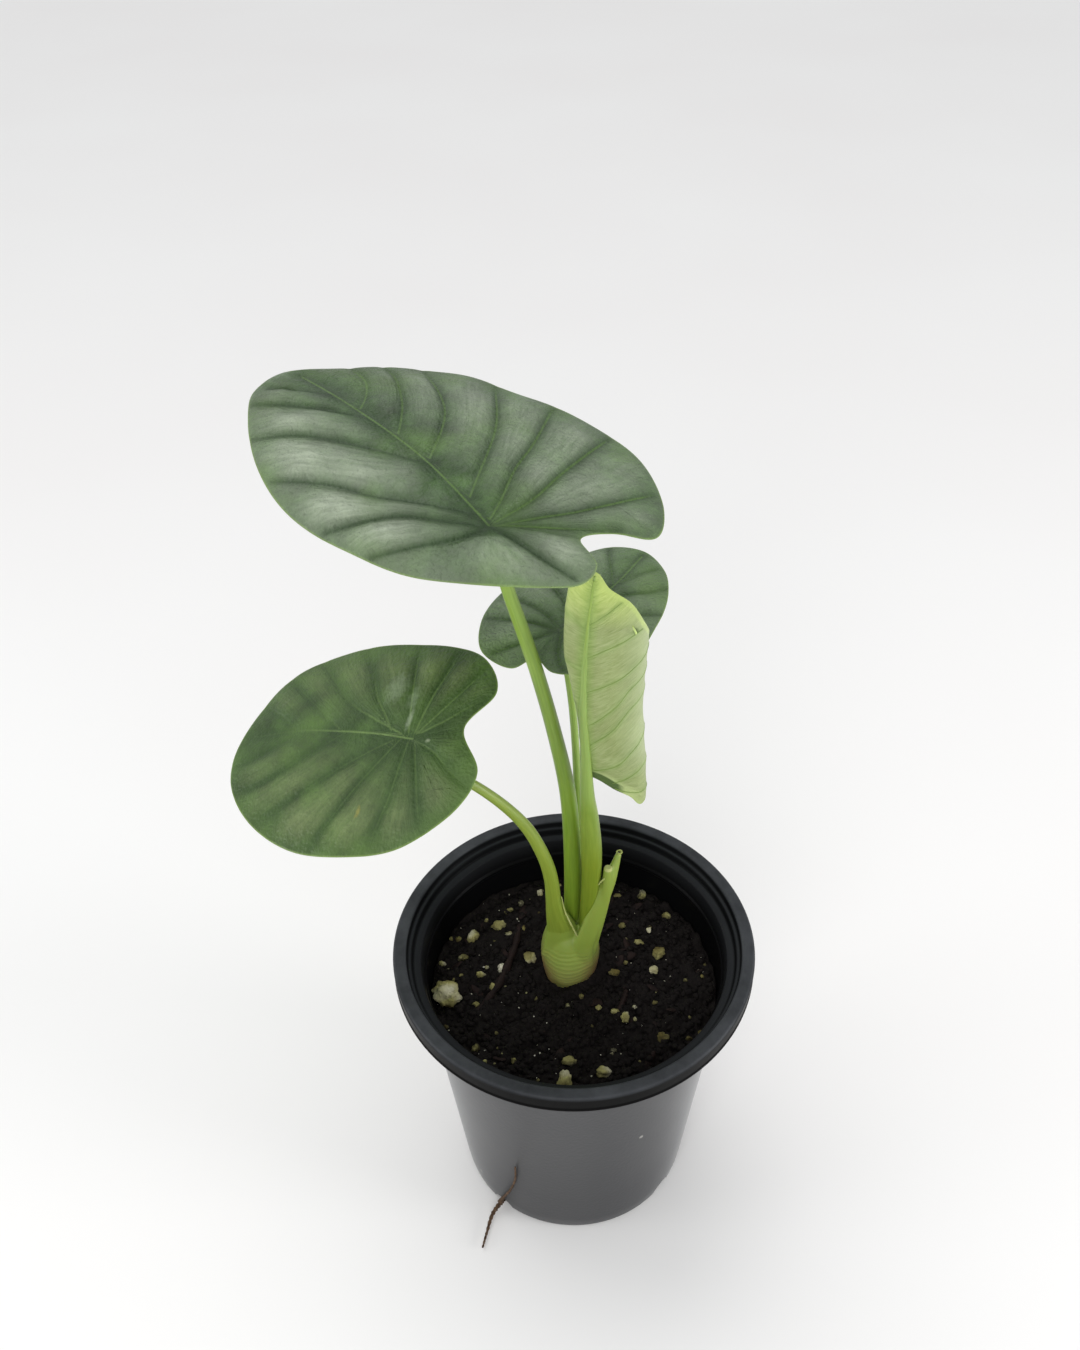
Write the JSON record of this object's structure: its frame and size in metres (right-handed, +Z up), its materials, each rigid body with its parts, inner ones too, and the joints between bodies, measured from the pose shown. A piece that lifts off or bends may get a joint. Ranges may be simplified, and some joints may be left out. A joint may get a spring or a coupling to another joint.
{
  "type": "potted lukiwan alocasia",
  "caption": "Small potted alocasia house plant: arrow-shaped quilted leaves and a still rolled young leaf on slender stalks, rising from a bulb in a round tapered pot of mix.",
  "frame": {"origin": "middle of the pot's flat underside, where it stands", "axes": "+Z up the pot's axis; -Y towards the viewer of the picture, +X to the viewer's right; the big leaf's apex points to the back and left"},
  "size_m": [0.1518, 0.1352, 0.2594],
  "materials": {
    "pot": "dark charcoal grey moulded plastic with a satin sheen",
    "soil": "moist near-black peat and bark with pale perlite grains",
    "stem": "living stem tissue, olive green with a brown skin low down",
    "petiole": "living stalk, smooth yellow-green with a soft sheen",
    "leaf": "living leaf, deep green, quilted, with a waxy grey-blue sheen",
    "young_leaf": "underside of a young leaf, pale green and satin",
    "root": "dry brown root"
  },
  "bodies": {
    "root": {"pot": "pot", "soil": "soil", "stem_base": "stem", "top_petiole": "petiole", "top_blade": "leaf", "left_petiole": "petiole", "left_blade": "leaf", "back_petiole": "petiole", "back_blade": "leaf", "young_petiole": "petiole", "young_blade": "young_leaf", "stray_root": "root"}
  },
  "joints": []
}
